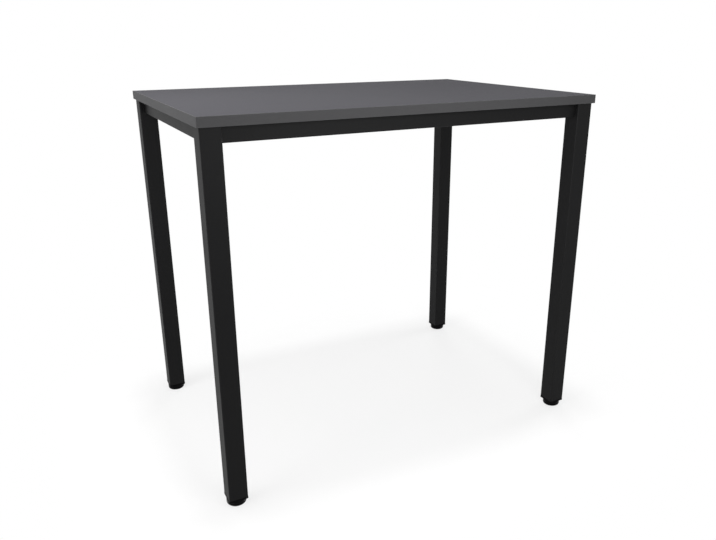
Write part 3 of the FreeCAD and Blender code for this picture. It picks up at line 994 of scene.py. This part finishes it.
    def build(self) -> bpy.types.Object:
        """Models the stud at the origin.

        Returns:
            The pattern for the four studs.
        """
        shank = Workbench.turn("stud_pattern", [
            (self.head_radius, self.head_bottom), (self.head_radius, self.head_top),
            (self.neck_radius, self.head_top),
            (self.neck_radius, self.hexagon_bottom + self.neck_overlap)], self.sides)
        for height in (self.head_bottom, self.head_top):
            Workbench.round_ring(shank, self.head_radius, height, self.head_round,
                                 self.head_round_faces)
        piece = Workbench.join([shank, self.hexagon(), self.thread()])
        Workbench.smooth(piece, self.crease_degrees)
        return piece


@dataclass
class LevellingFeet:
    """The four feet: a moulded pad and a threaded stud at each leg, under a plug and nut."""

    pad: FootPad = field(default_factory=FootPad)
    stud: Stud = field(default_factory=Stud)

    def build(self) -> None:
        """Models a pad and a stud, copies them to the legs and dresses the plugs and nuts."""
        pad, stud = self.pad.build(), self.stud.build()
        for corner in Corner:
            self.fit(pad, f"moulded_foot_{corner.value}", f"foot_pad_{corner.value}",
                     f"levelling_pad_{corner.value}", Slot.FOOT_PLASTIC)
            self.fit(stud, f"threaded_stud_{corner.value}", f"foot_stud_{corner.value}",
                     f"levelling_stud_{corner.value}", Slot.ZINC)
        Workbench.scrap(pad)
        Workbench.scrap(stud)
        dress(Slot.PLUG_PLASTIC, [f"leg_plug_{corner.value}" for corner in Corner])
        dress(Slot.ZINC, [f"foot_nut_{corner.value}" for corner in Corner])
        dress(Slot.FOOT_PLASTIC, [f"foot_pad_{corner.value}" for corner in Corner])
        dress(Slot.ZINC, [f"foot_stud_{corner.value}" for corner in Corner])

    @staticmethod
    def fit(pattern: bpy.types.Object, name: str, node: str, body: str, slot: Slot) -> None:
        """Puts a copy of a piece where a node stands and makes it move with that node's body.

        Args:
            pattern: the piece to copy.
            name: name of the copy.
            node: node that the copy stands for.
            body: body that it moves with.
            slot: slot of its finish.
        """
        low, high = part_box(node)
        piece = Workbench.copy_to(pattern, name, (low.x + high.x) / 2, (low.y + high.y) / 2)
        piece.data.materials.clear()
        piece.data.materials.append(material_of(slot))
        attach(piece, body)
        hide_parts(node)
        LOG.info("%s: moves with %s", name, body)


# ---------------------------------------------------------------- studio
@dataclass(frozen=True)
class SoftLamp:
    """Square soft box, aimed at the table."""

    name: str
    place: Point
    target: Point
    size: float
    power: float

    def hang(self) -> None:
        """Hangs the lamp; the camera doesn't see it."""
        Workbench.clear()
        bpy.ops.object.light_add(type="AREA", location=self.place)
        lamp = bpy.context.object
        lamp.name = lamp.data.name = self.name
        lamp.data.shape = "SQUARE"
        lamp.data.size = self.size
        lamp.data.energy = self.power
        aim = Vector(self.target) - Vector(self.place)
        lamp.rotation_euler = aim.to_track_quat("-Z", "Y").to_euler()
        lamp.visible_camera = False
        LOG.info("%s: hung", self.name)


@dataclass
class Studio:
    """Pale floor and surroundings, soft lamps and the camera."""

    floor_size: float = 14.0
    floor_colour: Colour = (0.75, 0.75, 0.75, 1.0)
    table_half: Point = (0.6, 0.4, 0.0)
    shadow_share: float = 0.26
    shadow_level: float = 1.02
    shadow_near: float = 0.05
    shadow_far: float = 0.45
    daylight: float = 0.397
    lamps: tuple[SoftLamp, ...] = (
        SoftLamp("overhead_lamp", (0.0, 0.0, 7.0), (0.0, 0.0, 0.0), 0.7, 136.0),
        SoftLamp("left_end_lamp", (-0.75, -0.1, 1.81), (0.0, 0.0, 0.9), 0.9, 8.6),
        SoftLamp("left_side_lamp", (-3.2, -0.52, 1.2), (0.0, 0.0, 0.9), 1.6, 38.0),
        SoftLamp("front_lamp", (0.0, -1.4, 1.15), (0.0, 0.0, 1.0), 0.9, 9.4),
        SoftLamp("right_side_lamp", (3.0, 0.4, 0.5), (0.0, 0.0, 0.6), 1.0, 40.0),
        SoftLamp("back_lamp", (1.5, 2.6, 0.5), (0.3, 0.0, 0.6), 1.0, 42.0),
    )
    camera_place: Point = (-0.97302, -1.95134, 1.23509)
    camera_pitch: float = 70.9136
    camera_yaw: float = -28.0512
    camera_lens: float = 34.4414
    camera_shift: tuple[float, float] = (-0.02501, -0.00282)

    def build(self) -> None:
        """Sets up the floor, the surroundings, the lamps, the camera and the plain view."""
        self.lay_floor()
        self.surround()
        for lamp in self.lamps:
            lamp.hang()
        self.set_camera()
        bpy.context.scene.view_settings.view_transform = "Standard"

    @staticmethod
    def seen_directly(wiring: Wiring) -> bpy.types.NodeSocket:
        """Mask of what the camera sees, straight or in a mirror or through glass.

        Args:
            wiring: node tree of the floor or the surroundings.

        Returns:
            The mask's socket.
        """
        path = wiring.place("LightPath")
        mirrored = wiring.sum_up(Sum.LARGER, path.outputs["Is Camera Ray"],
                                 path.outputs["Is Glossy Ray"])
        return wiring.sum_up(Sum.LARGER, mirrored, path.outputs["Is Transmission Ray"])

    def shadow_mask(self, wiring: Wiring) -> bpy.types.NodeSocket:
        """Share of the floor's look that follows its light, by the distance from the table.

        Args:
            wiring: node tree of the floor.

        Returns:
            The share's socket: whole under the table, and none away from it.
        """
        plan = wiring.place("TexCoord").outputs["Object"]
        mirrored = wiring.place("VectorMath", {0: plan}, operation="ABSOLUTE")
        beyond = wiring.place("VectorMath", {0: mirrored.outputs[0], 1: self.table_half},
                              operation="SUBTRACT")
        outside = wiring.place("VectorMath", {0: beyond.outputs[0], 1: (0.0, 0.0, 0.0)},
                               operation="MAXIMUM")
        distance = wiring.place("VectorMath", {0: outside.outputs[0]}, operation="LENGTH")
        share = wiring.place("MapRange", {
            "Value": distance.outputs["Value"], "From Min": self.shadow_far,
            "From Max": self.shadow_near, "To Max": self.shadow_share},
            interpolation_type="SMOOTHSTEP")
        return share.outputs[0]

    def lay_floor(self) -> None:
        """Lays a pale floor, white to look at, that keeps the shadow of the table."""
        Workbench.clear()
        bpy.ops.mesh.primitive_plane_add(size=self.floor_size)
        floor = bpy.context.object
        floor.name = floor.data.name = "studio_floor"
        material = bpy.data.materials.new("studio_floor")
        material.use_nodes = True
        material.node_tree.nodes.clear()
        wiring = Wiring(material.node_tree)
        share = self.shadow_mask(wiring)
        rest = wiring.sum_up(Sum.SUBTRACT, 1.0,
                             wiring.sum_up(Sum.MULTIPLY, share, self.shadow_level))
        white = wiring.place("Emission", {"Color": WHITE, "Strength": rest})
        shaded = wiring.place("BsdfDiffuse", {"Color": share})
        shown = wiring.place("AddShader", {0: white.outputs[0], 1: shaded.outputs[0]})
        lit = wiring.place("BsdfDiffuse", {"Color": self.floor_colour})
        surface = wiring.place("MixShader", {0: self.seen_directly(wiring),
                                             1: lit.outputs[0], 2: shown.outputs[0]})
        below = wiring.place("NewGeometry").outputs["Backfacing"]
        clear = wiring.place("BsdfTransparent")
        sided = wiring.place("MixShader", {0: below, 1: surface.outputs[0],
                                           2: clear.outputs[0]})
        wiring.place("OutputMaterial", {"Surface": sided.outputs[0]})
        floor.data.materials.append(material)
        LOG.info("studio_floor: laid")

    def surround(self) -> None:
        """Makes the surroundings white to look at and a plain soft light on the table."""
        world = bpy.data.worlds.new("studio_surroundings")
        world.use_nodes = True
        world.node_tree.nodes.clear()
        wiring = Wiring(world.node_tree)
        soft = wiring.place("Background", {"Color": WHITE, "Strength": self.daylight})
        white = wiring.place("Background", {"Color": WHITE, "Strength": 1.0})
        both = wiring.place("MixShader", {0: self.seen_directly(wiring), 1: soft.outputs[0],
                                          2: white.outputs[0]})
        wiring.place("OutputWorld", {"Surface": both.outputs[0]})
        bpy.context.scene.world = world
        LOG.info("studio_surroundings: set")

    def set_camera(self) -> None:
        """Stands the camera in front of the table, to its left, and makes it the scene's."""
        Workbench.clear()
        bpy.ops.object.camera_add(
            location=self.camera_place,
            rotation=(math.radians(self.camera_pitch), 0.0, math.radians(self.camera_yaw)))
        camera = bpy.context.object
        camera.name = camera.data.name = "studio_camera"
        camera.data.lens = self.camera_lens
        camera.data.shift_x, camera.data.shift_y = self.camera_shift
        bpy.context.scene.camera = camera
        LOG.info("studio_camera: set")


def main() -> None:
    """Dresses the table part by part and sets up the studio round it."""
    logging.basicConfig(level=logging.INFO, format="%(name)s: %(message)s")
    for assembly in (Board(), SteelFrame(), LevellingFeet(), Studio()):
        LOG.info("%s", type(assembly).__name__)
        assembly.build()


if __name__ == "__main__":
    main()
